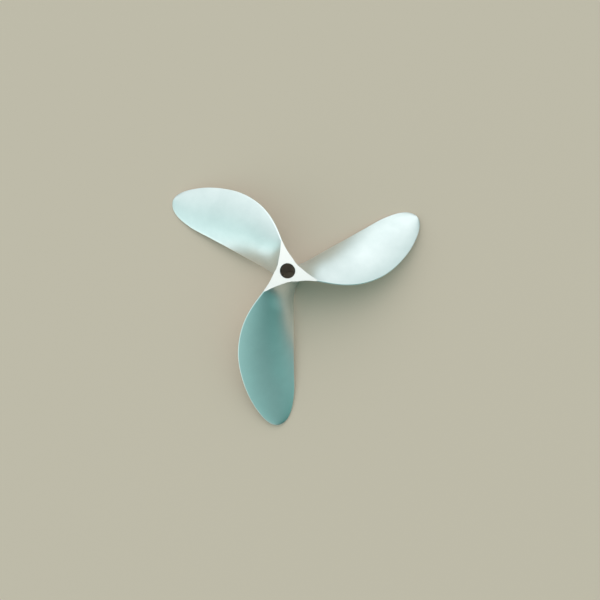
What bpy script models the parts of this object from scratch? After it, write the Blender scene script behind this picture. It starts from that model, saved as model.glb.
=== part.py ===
"""Three-bladed mixing propeller, cast in one piece.

A short hub carries three swept blades of constant pitch, 120 degrees apart.
The upper end of the hub is faced flat. The cut runs on into the thick roots of
the blades, so the machined face is a star with three arms. The bore is plain.

Units are metres. The shaft axis is +Z, and z = 0 is the level of the blades'
lowest edges and of the hub's lower face, which stand on the same floor.
"""

from math import atan2, cos, exp, pi, radians, sin, sqrt

import bpy
import bmesh

# Sizes of the whole casting
DIAMETER = 0.400
HUB_LENGTH = 0.0605
HUB_DIAMETER = 0.0286
BORE_DIAMETER = 0.0190
BORE_CHAMFER = 0.0003
BLADE_COUNT = 3
FIRST_BLADE_DIRECTION = radians(30)

# Screw surface of a blade: it falls as it turns counter-clockwise
PITCH = 0.284
TIP_DROP = 0.0276
ROOT_DEPTH = 0.0370

# Outline of a blade, seen along the shaft
TIP_RADIUS_OF_CURVE = 0.0150
WIDTH_LINEAR = 1.435
WIDTH_CUBIC = 0.435
SWEEP_DEGREES = (-24.3, -22.7, -18.5, -12.9, -8.7)
ROOT_FLARE = 0.0055
ROOT_FLARE_REACH = 0.0130

# Thickness of a blade: flat below and rounded above, fullest behind the middle of its width
THICKNESS_ROOT = 0.0115
THICKNESS_TIP = 0.0036
FULLNESS_SKEW = 0.22
CAMBER_START = 0.0220
CAMBER_FULL = 0.0520
EDGE_RADIUS = 0.0009

# Fillets where the blade meets the hub: the rise at the hub and the radius where it ends
UPPER_FILLET = (0.0082, 0.0360)
LOWER_FILLET = (0.0145, 0.0500)
FILLET_INSET = 0.0005

# Fineness of the mesh
CHORD_POINTS = 15
EDGE_POINTS = (0.0, 0.25, 1.0)
EDGE_SHARE_LIMIT = 0.08
RADIAL_STATIONS = 26
STATION_SPREAD = 1.4
TIP_STATIONS = 6
LOFT_START = 0.0110
TIP_LENGTH = 0.0100
TIP_OPENING = 0.00002
HUB_SIDES = 60
BORE_SIDES = 48
SMOOTH_ANGLE = radians(40)

# Cutters for the machined faces and the bore
FACING_RADIUS = 0.080
FACING_DEPTH = 0.080
CUT_MARGIN = 0.02

RADIUS = DIAMETER / 2
HUB_RADIUS = HUB_DIAMETER / 2
BORE_RADIUS = BORE_DIAMETER / 2
FILLET_START = HUB_RADIUS - FILLET_INSET


def clear_scene():
    for old in list(bpy.data.objects):
        bpy.data.objects.remove(old, do_unlink=True)


def new_collection(name):
    collection = bpy.data.collections.new(name)
    bpy.context.scene.collection.children.link(collection)
    return collection


def cast_steel():
    """Bead-blasted cast stainless steel: pale grey and satin."""
    material = bpy.data.materials.new("blasted_cast_steel")
    material.use_nodes = True
    shader = material.node_tree.nodes["Principled BSDF"]
    shader.inputs["Base Color"].default_value = (0.74, 0.76, 0.75, 1.0)
    shader.inputs["Metallic"].default_value = 1.0
    shader.inputs["Roughness"].default_value = 0.36
    return material


def object_from_bmesh(name, work, collection):
    mesh = bpy.data.meshes.new(name)
    bmesh.ops.recalc_face_normals(work, faces=work.faces)
    work.to_mesh(mesh)
    work.free()
    made = bpy.data.objects.new(name, mesh)
    collection.objects.link(made)
    return made


def sweep_angle(radius):
    """Direction of the middle of the blade's width: a smooth curve through SWEEP_DEGREES."""
    spans = len(SWEEP_DEGREES) - 1
    place = max(radius / RADIUS * (spans + 1) - 1, 0.0)
    span = min(int(place), spans - 1)
    part = place - span
    angles = [SWEEP_DEGREES[min(max(span + step, 0), spans)] for step in (-1, 0, 1, 2)]
    before, start, end, after = angles
    slope_start = (end - before) / 2
    slope_end = (after - start) / 2
    return radians(
        start * (1 + 2 * part) * (1 - part) ** 2
        + slope_start * part * (1 - part) ** 2
        + end * part ** 2 * (3 - 2 * part)
        + slope_end * part ** 2 * (part - 1)
    )


def half_width(radius):
    """Half of the blade's width along the arc: a round tip, a taper and a flare at the root."""
    share = radius / RADIUS
    tip_curve = sqrt(2 * TIP_RADIUS_OF_CURVE * (RADIUS - radius))
    taper = WIDTH_LINEAR * share - WIDTH_CUBIC * share ** 3
    flare = ROOT_FLARE * exp((HUB_RADIUS - radius) / ROOT_FLARE_REACH)
    return tip_curve * taper + flare * (1 - share)


def screw_height(radius, angle):
    """Height of the blade's screw surface: constant pitch, with the tips drooping."""
    return HUB_LENGTH - ROOT_DEPTH - TIP_DROP * radius / RADIUS - PITCH * angle / (2 * pi)


def round_nose(distance, nose_radius):
    """Share of the full thickness that a rounded edge leaves at a distance from it."""
    inward = min(distance / nose_radius, 1.0)
    return sqrt(max(1 - (1 - inward) ** 2, 0.0))


def ease(share):
    """Smooth step from 0 to 1."""
    share = min(max(share, 0.0), 1.0)
    return share * share * (3 - 2 * share)


def fullness(radius, across):
    """Half of what a section has above its edges' own thickness, at a place across the width."""
    middle = (THICKNESS_ROOT + (THICKNESS_TIP - THICKNESS_ROOT) * radius / RADIUS) / 2
    lens = 4 * across * (1 - across) * (1 + FULLNESS_SKEW * (2 * across - 1))
    return (middle - EDGE_RADIUS) * lens


def half_thickness(radius, across, fillet):
    """Half thickness of the blade, with its rounded edges and the fillet at the hub."""
    rise, end = fillet
    in_fillet = 0.0
    if radius >= FILLET_START:
        in_fillet = min(max(end - radius, 0.0) / (end - FILLET_START), 1.0)
    edge = EDGE_RADIUS + rise * (1 - sqrt(1 - in_fillet ** 2))
    from_edge = min(across, 1 - across) * 2 * half_width(radius)
    return edge * round_nose(from_edge, edge) + fullness(radius, across)


def section_places(radius):
    """Places across the width from 0 to 1: close together at the rounded edges."""
    nose = min(EDGE_RADIUS / (2 * half_width(radius)), EDGE_SHARE_LIMIT)
    lead = [share * nose for share in EDGE_POINTS]
    inner = [
        nose + (1 - 2 * nose) * (1 - cos(pi * k / CHORD_POINTS)) / 2
        for k in range(1, CHORD_POINTS)
    ]
    return lead + inner + [1 - place for place in reversed(lead)]


def section_points(radius, direction):
    """One closed loop round the blade where a cylinder about the shaft cuts it."""
    reach = half_width(radius) / radius
    slope = atan2(PITCH, 2 * pi * radius)
    tip = round_nose(RADIUS - radius, EDGE_RADIUS * 2)
    camber = ease((radius - CAMBER_START) / (CAMBER_FULL - CAMBER_START))
    upper = []
    lower = []
    for across in section_places(radius):
        angle = sweep_angle(radius) + (2 * across - 1) * reach
        lift = camber * fullness(radius, across)
        above = (lift + half_thickness(radius, across, UPPER_FILLET)) * tip
        below = (lift - half_thickness(radius, across, LOWER_FILLET)) * tip
        for side, loop in ((above, upper), (below, lower)):
            turned = direction + angle + side * sin(slope) / radius
            height = screw_height(radius, angle) + side * cos(slope)
            loop.append((radius * cos(turned), radius * sin(turned), height))
    return upper + lower[-2:0:-1]


def radial_stations():
    """Radii of the sections: closer together at the root fillet and at the tip."""
    last_even = RADIUS - TIP_LENGTH
    even = [
        FILLET_START + (last_even - FILLET_START) * (k / (RADIAL_STATIONS - 1)) ** STATION_SPREAD
        for k in range(RADIAL_STATIONS)
    ]
    tip = [RADIUS - TIP_LENGTH * (1 - k / TIP_STATIONS) ** 2 for k in range(1, TIP_STATIONS)]
    return [LOFT_START] + even + tip + [RADIUS - TIP_OPENING]


def close_loop(work, loop):
    """Strip of faces from the upper side of a section to its lower side."""
    half = len(loop) // 2
    work.faces.new((loop[0], loop[1], loop[-1]))
    for k in range(1, half - 1):
        work.faces.new((loop[k], loop[k + 1], loop[-k - 1], loop[-k]))
    work.faces.new((loop[half - 1], loop[half], loop[half + 1]))


def blade_loft(name, direction, collection):
    """Skin over the sections of one blade, closed at the root and the tip."""
    work = bmesh.new()
    loops = []
    for radius in radial_stations():
        loops.append([work.verts.new(point) for point in section_points(radius, direction)])
    for near, far in zip(loops, loops[1:]):
        for k in range(len(near)):
            after = (k + 1) % len(near)
            work.faces.new((near[k], near[after], far[after], far[k]))
    for loop in (loops[0], loops[-1]):
        close_loop(work, loop)
    bmesh.ops.triangulate(work, faces=work.faces)
    return object_from_bmesh(name, work, collection)


def round_bar(name, radius_low, radius_high, low, high, sides, collection):
    """Straight or tapered round bar on the shaft axis between two heights."""
    work = bmesh.new()
    bmesh.ops.create_cone(
        work, cap_ends=True, segments=sides, radius1=radius_low, radius2=radius_high, depth=high - low
    )
    bmesh.ops.translate(work, verts=work.verts, vec=(0, 0, (low + high) / 2))
    return object_from_bmesh(name, work, collection)


def add_boolean(target, operand, operation):
    operand.hide_render = True
    operand.display_type = "WIRE"
    step = target.modifiers.new(operand.name, "BOOLEAN")
    step.operation = operation
    step.solver = "EXACT"
    step.object = operand


clear_scene()
parts = new_collection("mixing_propeller")
tools = new_collection("blades_and_cutters")

casting = round_bar(
    "propeller_casting", HUB_RADIUS, HUB_RADIUS, 0.0, HUB_LENGTH, HUB_SIDES, parts
)
casting.data.materials.append(cast_steel())

for number in range(BLADE_COUNT):
    blade_direction = FIRST_BLADE_DIRECTION + number * 2 * pi / BLADE_COUNT
    blade = blade_loft("blade_%d" % (number + 1), blade_direction, tools)
    add_boolean(casting, blade, "UNION")

# Both ends are faced flat, as far out as the blades' roots
upper_facing = round_bar(
    "upper_facing", FACING_RADIUS, FACING_RADIUS, HUB_LENGTH, HUB_LENGTH + FACING_DEPTH, BORE_SIDES, tools
)
lower_facing = round_bar(
    "lower_facing", FACING_RADIUS, FACING_RADIUS, -FACING_DEPTH, 0.0, BORE_SIDES, tools
)
bore = round_bar(
    "bore", BORE_RADIUS, BORE_RADIUS, -CUT_MARGIN, HUB_LENGTH + CUT_MARGIN, BORE_SIDES, tools
)

# A 45 degree cone breaks the edge of the bore at each end
narrow = BORE_RADIUS - BORE_CHAMFER
wide = BORE_RADIUS + 2 * BORE_CHAMFER
upper_chamfer = round_bar(
    "upper_chamfer", narrow, wide,
    HUB_LENGTH - 2 * BORE_CHAMFER, HUB_LENGTH + BORE_CHAMFER, BORE_SIDES, tools
)
lower_chamfer = round_bar(
    "lower_chamfer", wide, narrow, -BORE_CHAMFER, 2 * BORE_CHAMFER, BORE_SIDES, tools
)
for cutter in (upper_facing, lower_facing, bore, upper_chamfer, lower_chamfer):
    add_boolean(casting, cutter, "DIFFERENCE")

casting.data.shade_smooth()
casting.data.set_sharp_from_angle(angle=SMOOTH_ANGLE)
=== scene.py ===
import bpy
import numpy as np
from mathutils import Matrix, Vector


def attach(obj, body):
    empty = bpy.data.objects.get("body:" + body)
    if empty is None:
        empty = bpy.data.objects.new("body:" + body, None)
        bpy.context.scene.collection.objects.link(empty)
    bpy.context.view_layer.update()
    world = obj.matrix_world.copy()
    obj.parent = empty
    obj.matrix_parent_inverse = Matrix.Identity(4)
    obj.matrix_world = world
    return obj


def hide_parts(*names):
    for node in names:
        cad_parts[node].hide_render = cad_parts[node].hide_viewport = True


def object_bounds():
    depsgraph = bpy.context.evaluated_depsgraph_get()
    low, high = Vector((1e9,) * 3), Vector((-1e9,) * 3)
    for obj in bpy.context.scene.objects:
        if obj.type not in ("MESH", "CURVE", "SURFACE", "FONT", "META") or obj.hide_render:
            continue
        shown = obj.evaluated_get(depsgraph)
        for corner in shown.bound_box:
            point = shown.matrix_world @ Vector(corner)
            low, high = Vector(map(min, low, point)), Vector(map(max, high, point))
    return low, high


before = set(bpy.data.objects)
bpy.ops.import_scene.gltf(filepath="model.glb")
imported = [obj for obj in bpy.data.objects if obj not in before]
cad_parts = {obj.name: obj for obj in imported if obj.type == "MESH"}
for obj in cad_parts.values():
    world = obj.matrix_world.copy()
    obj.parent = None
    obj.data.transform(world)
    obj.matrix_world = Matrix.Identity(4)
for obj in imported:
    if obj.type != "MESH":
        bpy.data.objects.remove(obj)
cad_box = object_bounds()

# Casting. A mixing propeller of one piece: a short hub and three swept blades of constant pitch.
# It is cast stainless steel. Both ends of the hub are faced flat on a lathe, and the cut runs on
# into the thick roots of the blades, which leaves a star with three arms. The bore is plain.
TIP_RADIUS = 0.200
HUB_LENGTH = 0.0605
HUB_RADIUS = 0.0143
BORE_RADIUS = 0.0095
BORE_CHAMFER = 0.0003
BLADE_DIRECTIONS = np.radians([30, 150, 270])
PITCH = 0.284
TIP_DROP = 0.0276
ROOT_DEPTH = 0.0370
TIP_ROUNDING = 0.0150
WIDTH_TAPER = (1.435, -0.435)
SWEEP_DEGREES = np.array([-24.3, -22.7, -18.5, -12.9, -8.7])
ROOT_FLARE = 0.0055
ROOT_FLARE_REACH = 0.0130
THICKNESS = (0.0115, 0.0036)
FULLNESS_SKEW = 0.22
CAMBER_RADII = (0.0220, 0.0520)
EDGE_RADIUS = 0.0009
UPPER_FILLET = (0.0082, 0.0360)
LOWER_FILLET = (0.0145, 0.0500)
FILLET_START = HUB_RADIUS - 0.0005
LOFT_START = 0.0110
TIP_OPENING = 0.00002
FACING_RADIUS = 0.080
FACING_DEPTH = 0.080
FACING_ALLOWANCE = 0.002
STATIONS = 84
STATION_SPREAD = 1.4
EDGE_STEPS = 4
EDGE_SHARE_LIMIT = 0.08
WIDTH_STEPS = 40
ROUND_SIDES = 180


def sweep(radius):
    """Direction of the middle of the width: the smooth cubic through SWEEP_DEGREES at even radii."""
    last = len(SWEEP_DEGREES) - 1
    place = np.maximum(radius / TIP_RADIUS * (last + 1) - 1, 0)
    span = np.minimum(place.astype(int), last - 1)
    part = place - span
    before, start, end, after = (SWEEP_DEGREES[np.clip(span + k, 0, last)] for k in (-1, 0, 1, 2))
    return np.radians(
        start * (1 + 2 * part) * (1 - part) ** 2 + (end - before) / 2 * part * (1 - part) ** 2
        + end * part ** 2 * (3 - 2 * part) + (after - start) / 2 * part ** 2 * (part - 1)
    )


def half_width(radius):
    """Half of the width along the arc: the root of what is left to the tip, tapered, and a root flare."""
    share = radius / TIP_RADIUS
    round_tip = np.sqrt(2 * TIP_ROUNDING * np.maximum(TIP_RADIUS - radius, 0))
    flare = ROOT_FLARE * np.exp((HUB_RADIUS - radius) / ROOT_FLARE_REACH) * (1 - share)
    return round_tip * (WIDTH_TAPER[0] * share + WIDTH_TAPER[1] * share ** 3) + flare


def nose(distance, rounding):
    """A quarter circle: the share of the full thickness at a distance in from a rounded edge."""
    inward = np.clip(distance / rounding, 0, 1)
    return np.sqrt(np.maximum(1 - (1 - inward) ** 2, 0))


def fullness(radius, across):
    """The lens 4a(1-a), leaning to the trailing edge, times the half thickness above the edges' own."""
    middle = (THICKNESS[0] + (THICKNESS[1] - THICKNESS[0]) * radius / TIP_RADIUS) / 2
    lens = 4 * across * (1 - across) * (1 + FULLNESS_SKEW * (2 * across - 1))
    return (middle - EDGE_RADIUS) * lens


def blade_side(radius, across, direction, side):
    """A point of the upper (side 1) or lower (side -1) face. The screw surface falls by the pitch per
    turn and towards the tip. The point stands off it, square to the screw's slope, by the camber plus
    or minus the half thickness: a rounded edge, a quarter-circle root fillet, and the lens."""
    rise, end = UPPER_FILLET if side > 0 else LOWER_FILLET
    toward_hub = np.clip((end - radius) / (end - FILLET_START), 0, 1)
    into_fillet = np.where(radius < FILLET_START, 0, toward_hub)
    edge = EDGE_RADIUS + rise * (1 - np.sqrt(1 - into_fillet ** 2))
    from_edge = np.minimum(across, 1 - across) * 2 * half_width(radius)
    half = edge * nose(from_edge, edge) + fullness(radius, across)
    grown = np.clip((radius - CAMBER_RADII[0]) / (CAMBER_RADII[1] - CAMBER_RADII[0]), 0, 1)
    camber = grown ** 2 * (3 - 2 * grown) * fullness(radius, across)
    off = (camber + side * half) * nose(TIP_RADIUS - radius, 2 * EDGE_RADIUS)
    angle = sweep(radius) + (2 * across - 1) * half_width(radius) / radius
    slope = np.arctan2(PITCH, 2 * np.pi * radius)
    turned = direction + angle + off * np.sin(slope) / radius
    screw = HUB_LENGTH - ROOT_DEPTH - TIP_DROP * radius / TIP_RADIUS - PITCH * angle / (2 * np.pi)
    return np.stack([radius * np.cos(turned), radius * np.sin(turned), screw + off * np.cos(slope)], -1)


def tube_mesh(name, grid):
    """A grid of rings, each a closed loop of points, skinned over and capped at both ends."""
    rings, points = grid.shape[:2]
    k = np.arange(rings * points).reshape(rings, points)
    near, far = k[:-1], k[1:]
    quads = np.stack([near, np.roll(near, -1, 1), np.roll(far, -1, 1), far], -1).reshape(-1, 4)
    made = bpy.data.meshes.new(name)
    made.from_pydata(grid.reshape(-1, 3), [], quads.tolist() + [k[0][::-1].tolist(), k[-1].tolist()])
    made.validate()
    return made


def blade(direction):
    """Rings of the blade, each its lower face and then its upper face back again. Their radii step
    from inside the hub to the tip by a sine, and their points step across by a cosine, with some
    more round each edge, so both are closer together at their ends."""
    even = np.linspace(0, 1, STATIONS)
    reach = TIP_RADIUS - TIP_OPENING - FILLET_START
    outward = FILLET_START + reach * np.sin(np.pi / 2 * even ** STATION_SPREAD)
    radius = np.r_[LOFT_START, outward][:, None]
    rounding = np.minimum(EDGE_RADIUS / (2 * half_width(radius)), EDGE_SHARE_LIMIT)
    edge = rounding * (1 - np.cos(np.pi / 2 * np.arange(EDGE_STEPS) / EDGE_STEPS))
    over = (1 - np.cos(np.pi * np.arange(WIDTH_STEPS + 1) / WIDTH_STEPS)) / 2
    middle = rounding + (1 - 2 * rounding) * over
    across = np.concatenate([edge, middle, 1 - edge[:, ::-1]], 1)
    upper = blade_side(radius, across, direction, 1)
    lower = blade_side(radius, across, direction, -1)
    return np.concatenate([lower, upper[:, -2:0:-1]], 1)


def turned_bar(profile):
    """A profile of (radius, height) pairs carried round the shaft axis."""
    angle = 2 * np.pi * np.arange(ROUND_SIDES) / ROUND_SIDES
    radius, height = np.array(profile).T[..., None]
    return np.stack([radius * np.cos(angle), radius * np.sin(angle), height + 0 * angle], -1)


def helper(name, grid):
    """An object skinned over a grid of rings, kept only until the casting is cut."""
    made = bpy.data.objects.new(name, tube_mesh(name, grid))
    bpy.context.scene.collection.objects.link(made)
    return made


hub = helper("hub_bar", turned_bar([
    (HUB_RADIUS, -FACING_ALLOWANCE), (HUB_RADIUS, HUB_LENGTH + FACING_ALLOWANCE),
]))
blades = [helper("blade_%d" % k, blade(direction)) for k, direction in enumerate(BLADE_DIRECTIONS)]
above = turned_bar([(FACING_RADIUS, HUB_LENGTH), (FACING_RADIUS, HUB_LENGTH + FACING_DEPTH)])
below = turned_bar([(FACING_RADIUS, -FACING_DEPTH), (FACING_RADIUS, 0)])
# the cutter of the bore widens past each end, which leaves a chamfer of BORE_CHAMFER there
wide = BORE_RADIUS + 2 * BORE_CHAMFER
bore = turned_bar([
    (wide, -BORE_CHAMFER), (BORE_RADIUS, BORE_CHAMFER),
    (BORE_RADIUS, HUB_LENGTH - BORE_CHAMFER), (wide, HUB_LENGTH + BORE_CHAMFER),
])
cutters = [helper("facing_above", above), helper("facing_below", below), helper("boring", bore)]
for operation, tools in (("UNION", blades), ("DIFFERENCE", cutters)):
    for tool in tools:
        step = hub.modifiers.new(tool.name, "BOOLEAN")
        step.operation = operation
        step.solver = "EXACT"
        step.object = tool
whole = bpy.data.meshes.new_from_object(hub.evaluated_get(bpy.context.evaluated_depsgraph_get()))
for used in (hub, *blades, *cutters):
    bpy.data.objects.remove(used)
casting = bpy.data.objects.new("propeller_casting_finished", whole)
bpy.context.scene.collection.objects.link(casting)

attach(casting, "root")
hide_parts("propeller_casting")

# Skin of the casting. Cast stainless steel, blasted with glass beads: the eye sees a pale satin
# skin, a little cloudy, with a fine even grain. The blades' edges were ground before blasting and
# are a little glossier, and their lighter colour is a painted highlight along the edges. The real grain
# is about 0.2 mm and is drawn coarser, so that it shows.
STEEL_LIGHT = "EEF2F2"
STEEL_CLOUD = "D5DDDD"
# the colour of the band along the blades' edges, lighter than the cloudy skin: a painted highlight
STEEL_EDGE_PAINTED_HIGHLIGHT = "EDF1F1"
CLOUD_SIZE = 0.030
CLOUD_DETAIL = 4
GRAIN_SIZE = 0.0012
GRAIN_DETAIL = 2
GRAIN_DEPTH = 0.00006
GRAIN_STRENGTH = 0.5
NOISE_ROUGHNESS = 0.6
SKIN_ROUGHNESS = (0.44, 0.36)
EDGE_ROUGHNESS = 0.28
EDGE_BAND = 0.0016
GROUND_AND_HIGHLIGHT_START = 0.022
GROUND_AND_HIGHLIGHT_GROWTH = 0.02
# a Mix node's sockets are told apart by their place: the factor, two numbers and two colours
FACTOR, NUMBER_A, NUMBER_B, COLOUR_A, COLOUR_B = 0, 2, 3, 6, 7
MIXED_NUMBER, MIXED_COLOUR = 0, 2


def linear(hex_colour):
    """An sRGB hex colour as linear red, green, blue and alpha."""
    srgb = np.array([int(hex_colour[k:k + 2], 16) for k in (0, 2, 4)]) / 255
    return (*np.where(srgb <= 0.04045, srgb / 12.92, ((srgb + 0.055) / 1.055) ** 2.4), 1)


def put(tree, kind, values=(), links=(), **settings):
    """Adds a node: settings of its own, input values, and links from (node, output) to inputs."""
    made = tree.nodes.new(kind)
    for name, value in settings.items():
        setattr(made, name, value)
    for socket, value in dict(values).items():
        made.inputs[socket].default_value = value
    for socket, (source, output) in dict(links).items():
        tree.links.new(source.outputs[output], made.inputs[socket])
    return made


def new_material(name):
    """An empty node material and its tree."""
    made = bpy.data.materials.new(name)
    made.use_nodes = True
    made.node_tree.nodes.clear()
    return made, made.node_tree


# how much each point is on a ground edge with its painted highlight: a bell curve of its distance in
# from the blade's outline, which starts clear of the hub and grows to its full height over the band's growth
# length
points = np.empty(len(whole.vertices) * 3)
whole.vertices.foreach_get("co", points)
points = points.reshape(-1, 3)
radius = np.hypot(points[:, 0], points[:, 1])
clear = np.clip(radius, UPPER_FILLET[1], TIP_RADIUS - TIP_OPENING)
turn = np.arctan2(points[:, 1], points[:, 0])[:, None] - BLADE_DIRECTIONS - sweep(clear)[:, None]
turn = np.abs((turn + np.pi) % (2 * np.pi) - np.pi).min(1)
inward = np.minimum(half_width(clear) - turn * clear, TIP_RADIUS - radius)
grown = np.clip((radius - GROUND_AND_HIGHLIGHT_START) / GROUND_AND_HIGHLIGHT_GROWTH, 0, 1)
band = np.exp(-(np.maximum(inward, 0) / EDGE_BAND) ** 2) * grown
on_points = whole.attributes.new("ground_edge_and_painted_highlight", "FLOAT", "POINT").data
on_points.foreach_set("value", band.astype(np.float32))

blasted, tree = new_material("cast_stainless_steel_bead_blasted")
place = put(tree, "ShaderNodeTexCoord")
ground_and_highlight = put(tree, "ShaderNodeAttribute", attribute_name="ground_edge_and_painted_highlight")
cloud = put(tree, "ShaderNodeTexNoise",
            {"Scale": 1 / CLOUD_SIZE, "Detail": CLOUD_DETAIL, "Roughness": NOISE_ROUGHNESS},
            {"Vector": (place, "Object")})
grain = put(tree, "ShaderNodeTexNoise",
            {"Scale": 1 / GRAIN_SIZE, "Detail": GRAIN_DETAIL, "Roughness": NOISE_ROUGHNESS},
            {"Vector": (place, "Object")})
skin = put(tree, "ShaderNodeMix", {COLOUR_A: linear(STEEL_CLOUD), COLOUR_B: linear(STEEL_LIGHT)},
           {FACTOR: (cloud, "Fac")}, data_type="RGBA")
# the band along the blades' edges is painted a lighter colour, a painted highlight, and is made glossier
# below
colour = put(tree, "ShaderNodeMix", {COLOUR_B: linear(STEEL_EDGE_PAINTED_HIGHLIGHT)},
             {FACTOR: (ground_and_highlight, "Fac"), COLOUR_A: (skin, MIXED_COLOUR)}, data_type="RGBA")
gloss = put(tree, "ShaderNodeMapRange", {"To Min": SKIN_ROUGHNESS[0], "To Max": SKIN_ROUGHNESS[1]},
            {"Value": (cloud, "Fac")})
edge_gloss = put(tree, "ShaderNodeMix", {NUMBER_B: EDGE_ROUGHNESS},
                 {FACTOR: (ground_and_highlight, "Fac"), NUMBER_A: (gloss, "Result")})
bump = put(tree, "ShaderNodeBump", {"Strength": GRAIN_STRENGTH, "Distance": GRAIN_DEPTH},
           {"Height": (grain, "Fac")})
steel = put(tree, "ShaderNodeBsdfPrincipled", {"Metallic": 1},
            {"Base Color": (colour, MIXED_COLOUR), "Roughness": (edge_gloss, MIXED_NUMBER),
             "Normal": (bump, "Normal")})
put(tree, "ShaderNodeOutputMaterial", (), {"Surface": (steel, "BSDF")})

# Machined faces of the casting. The same steel turned on a lathe, at both ends and in the bore:
# the eye sees a whiter, glossier metal with fine rings round the shaft. Real rings are about
# 0.2 mm apart and are drawn coarser, so that they show.
TURNED_LIGHT = "F9F6F3"
TURNED_GROOVE = "EAE7E4"
TURNED_ROUGHNESS = 0.3
GROOVE_SPACING = 0.0008
GROOVE_WOBBLE = 0.6
GROOVE_STRENGTH = 0.3
RING_SPACING_AT_SCALE_ONE = np.pi / 10
SHARP_DEGREES = 32
LEVEL_NORMAL = 0.9999
SAME_LEVEL = 1e-5

faced, tree = new_material("stainless_steel_turned_on_a_lathe")
place = put(tree, "ShaderNodeTexCoord")
groove = put(tree, "ShaderNodeTexWave",
             {"Scale": RING_SPACING_AT_SCALE_ONE / GROOVE_SPACING, "Distortion": GROOVE_WOBBLE, "Detail": 1},
             {"Vector": (place, "Object")}, wave_type="RINGS", rings_direction="Z")
colour = put(tree, "ShaderNodeMix", {COLOUR_A: linear(TURNED_GROOVE), COLOUR_B: linear(TURNED_LIGHT)},
             {FACTOR: (groove, "Fac")}, data_type="RGBA")
bump = put(tree, "ShaderNodeBump", {"Strength": GROOVE_STRENGTH, "Distance": GRAIN_DEPTH},
           {"Height": (groove, "Fac")})
steel = put(tree, "ShaderNodeBsdfPrincipled", {"Metallic": 1, "Roughness": TURNED_ROUGHNESS},
            {"Base Color": (colour, MIXED_COLOUR), "Normal": (bump, "Normal")})
put(tree, "ShaderNodeOutputMaterial", (), {"Surface": (steel, "BSDF")})

normals = np.empty(len(whole.polygons) * 3)
centres = np.empty(len(whole.polygons) * 3)
whole.polygons.foreach_get("normal", normals)
whole.polygons.foreach_get("center", centres)
normals = normals.reshape(-1, 3)
centres = centres.reshape(-1, 3)
flat = np.abs(normals[:, 2]) > LEVEL_NORMAL
top = flat & (np.abs(centres[:, 2] - HUB_LENGTH) < SAME_LEVEL)
bottom = flat & (np.abs(centres[:, 2]) < SAME_LEVEL)
bored = np.hypot(centres[:, 0], centres[:, 1]) < wide
machined = top | bottom | bored
whole.materials.clear()
whole.materials.append(blasted)
whole.materials.append(faced)
whole.polygons.foreach_set("material_index", machined.astype(np.int32))
whole.shade_smooth()
whole.set_sharp_from_angle(angle=np.radians(SHARP_DEGREES))

# an edge with a machined face on one side only is sharp too, however blunt its corner is
sharp = np.empty(len(whole.edges), bool)
whole.attributes["sharp_edge"].data.foreach_get("value", sharp)
loop_edges = np.empty(len(whole.loops), np.int32)
whole.loops.foreach_get("edge_index", loop_edges)
loop_counts = np.empty(len(whole.polygons), np.int32)
whole.polygons.foreach_get("loop_total", loop_counts)
loop_machined = np.repeat(machined, loop_counts)
touching = np.bincount(loop_edges, weights=loop_machined, minlength=len(sharp))
whole.attributes["sharp_edge"].data.foreach_set("value", sharp | (touching == 1))

# Floor. A plain pale sheet of matt paper, laid just under the level of the blades' lowest edges.
# Its fibres are drawn coarser than real ones, and give the eye only a faint tooth.
FLOOR_PAPER = "DEC6B4"
FLOOR_SIZE = 24.0
FLOOR_GAP = 0.0002
PAPER_ROUGHNESS = 0.9
FIBRE_SIZE = 0.0025
FIBRE_DETAIL = 3
FIBRE_DEPTH = 0.0001
FIBRE_STRENGTH = 0.1
floor_mesh = bpy.data.meshes.new("paper_floor")
corner = np.array([(-1, -1), (1, -1), (1, 1), (-1, 1)]) * FLOOR_SIZE / 2
floor_mesh.from_pydata(np.c_[corner, np.full(4, cad_box[0].z - FLOOR_GAP)], [], [(0, 1, 2, 3)])
floor = bpy.data.objects.new("paper_floor", floor_mesh)
bpy.context.scene.collection.objects.link(floor)
paper, tree = new_material("matt_paper")
place = put(tree, "ShaderNodeTexCoord")
fibre = put(tree, "ShaderNodeTexNoise", {"Scale": 1 / FIBRE_SIZE, "Detail": FIBRE_DETAIL},
            {"Vector": (place, "Object")})
bump = put(tree, "ShaderNodeBump", {"Strength": FIBRE_STRENGTH, "Distance": FIBRE_DEPTH},
           {"Height": (fibre, "Fac")})
sheet = put(tree, "ShaderNodeBsdfPrincipled",
            {"Base Color": linear(FLOOR_PAPER), "Roughness": PAPER_ROUGHNESS},
            {"Normal": (bump, "Normal")})
put(tree, "ShaderNodeOutputMaterial", (), {"Surface": (sheet, "BSDF")})
floor_mesh.materials.append(paper)

# Light. A room with large soft white lights: a strong one low on the left, the others behind and
# overhead. In front the lights are dim and green, which is what the front blade mirrors. The camera
# itself sees a plain pale backdrop above the floor.
BACKDROP = "D6D5CE"
ROOM = "0A1414"
WHITE = "FFFFFF"
COOL = "F4FFFF"
GREEN = "30FFEF"
# each light's colour, strength, direction and height in degrees, and how tightly it is focused
SOFT_LIGHTS = [
    (COOL, 1.35, -150, 12, 5),
    (COOL, 0.40, 90, 12, 5),
    (COOL, 0.24, 0, 20, 10),
    (COOL, 0.28, 150, 40, 10),
    (WHITE, 0.93, 60, 45, 5),
    (WHITE, 0.73, 120, 45, 5),
    (WHITE, 0.40, 90, 80, 8),
    (WHITE, 0.29, 90, 27, 20),
    (GREEN, 0.10, 90, 12, 5),
    (GREEN, 0.18, 0, 45, 5),
    (GREEN, 0.10, 180, 45, 5),
    (GREEN, 0.16, 180, 10, 10),
    (GREEN, 0.33, -110, 50, 10),
    (GREEN, 0.17, -30, 30, 10),
]
world = bpy.data.worlds.new("pale_room")
bpy.context.scene.world = world
world.use_nodes = True
tree = world.node_tree
tree.nodes.clear()
place = put(tree, "ShaderNodeTexCoord")
total = put(tree, "ShaderNodeVectorMath", {0: linear(ROOM)[:3]}, operation="ADD")
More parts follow.
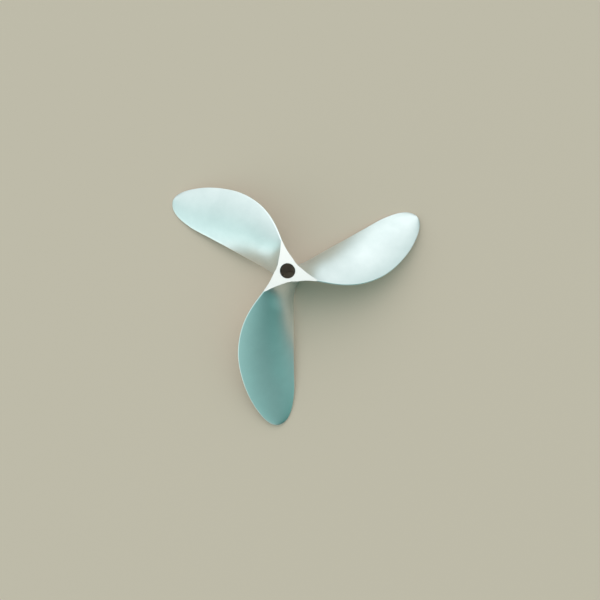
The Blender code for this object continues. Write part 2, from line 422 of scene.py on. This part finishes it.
for colour, strength, azimuth, height, focus in SOFT_LIGHTS:
    # each light is its strength times the exponential of focus * (cosine of the angle from its middle - 1)
    azimuth, height = np.radians([azimuth, height])
    middle = np.array([np.cos(height) * np.cos(azimuth), np.cos(height) * np.sin(azimuth), np.sin(height)])
    cosine = put(tree, "ShaderNodeVectorMath", {1: middle}, {0: (place, "Generated")},
                 operation="DOT_PRODUCT")
    fall = put(tree, "ShaderNodeMath", {1: focus, 2: -focus}, {0: (cosine, "Value")},
               operation="MULTIPLY_ADD")
    share = put(tree, "ShaderNodeMath", (), {0: (fall, 0)}, operation="EXPONENT")
    shine = put(tree, "ShaderNodeVectorMath", {0: np.array(linear(colour))[:3] * strength},
                {"Scale": (share, 0)}, operation="SCALE")
    total = put(tree, "ShaderNodeVectorMath", (), {0: (total, 0), 1: (shine, 0)}, operation="ADD")
glow = put(tree, "ShaderNodeBackground", (), {"Color": (total, 0)})
backdrop = put(tree, "ShaderNodeBackground", {"Color": linear(BACKDROP)})
ray = put(tree, "ShaderNodeLightPath")
seen_or_lit = put(tree, "ShaderNodeMixShader", (),
                  {0: (ray, "Is Camera Ray"), 1: (glow, "Background"), 2: (backdrop, "Background")})
put(tree, "ShaderNodeOutputWorld", (), {"Surface": (seen_or_lit, "Shader")})

# Camera. It looks down from in front, 80 degrees above the floor, at the photograph's distance.
# Its turn is a rotation vector and its offset is the star's middle as the camera sees it, with x to
# the right, y down and z ahead, as they were fitted to the photograph.
SENSOR_WIDTH = 36
LENS = 25.28
NEAREST = 0.01
CAMERA_TURN = Vector((-0.106659802, 0.00653918332, -0.0685824951))
CAMERA_OFFSET = Vector((-0.0155483302, -0.0365489116, 0.527276572))
DOWN_AND_AHEAD = Matrix.Diagonal((1, -1, -1))
camera = bpy.data.objects.new("camera", bpy.data.cameras.new("camera"))
camera.data.sensor_width = SENSOR_WIDTH
camera.data.lens = LENS
camera.data.clip_start = NEAREST
seen = Matrix.Rotation(CAMERA_TURN.length, 3, CAMERA_TURN.normalized()) @ DOWN_AND_AHEAD
camera.rotation_mode = "QUATERNION"
camera.rotation_quaternion = (seen.transposed() @ DOWN_AND_AHEAD).to_quaternion()
camera.location = -(seen.transposed() @ CAMERA_OFFSET) + Vector((0, 0, HUB_LENGTH))
bpy.context.scene.collection.objects.link(camera)
bpy.context.scene.camera = camera
bpy.context.scene.view_settings.view_transform = "Standard"
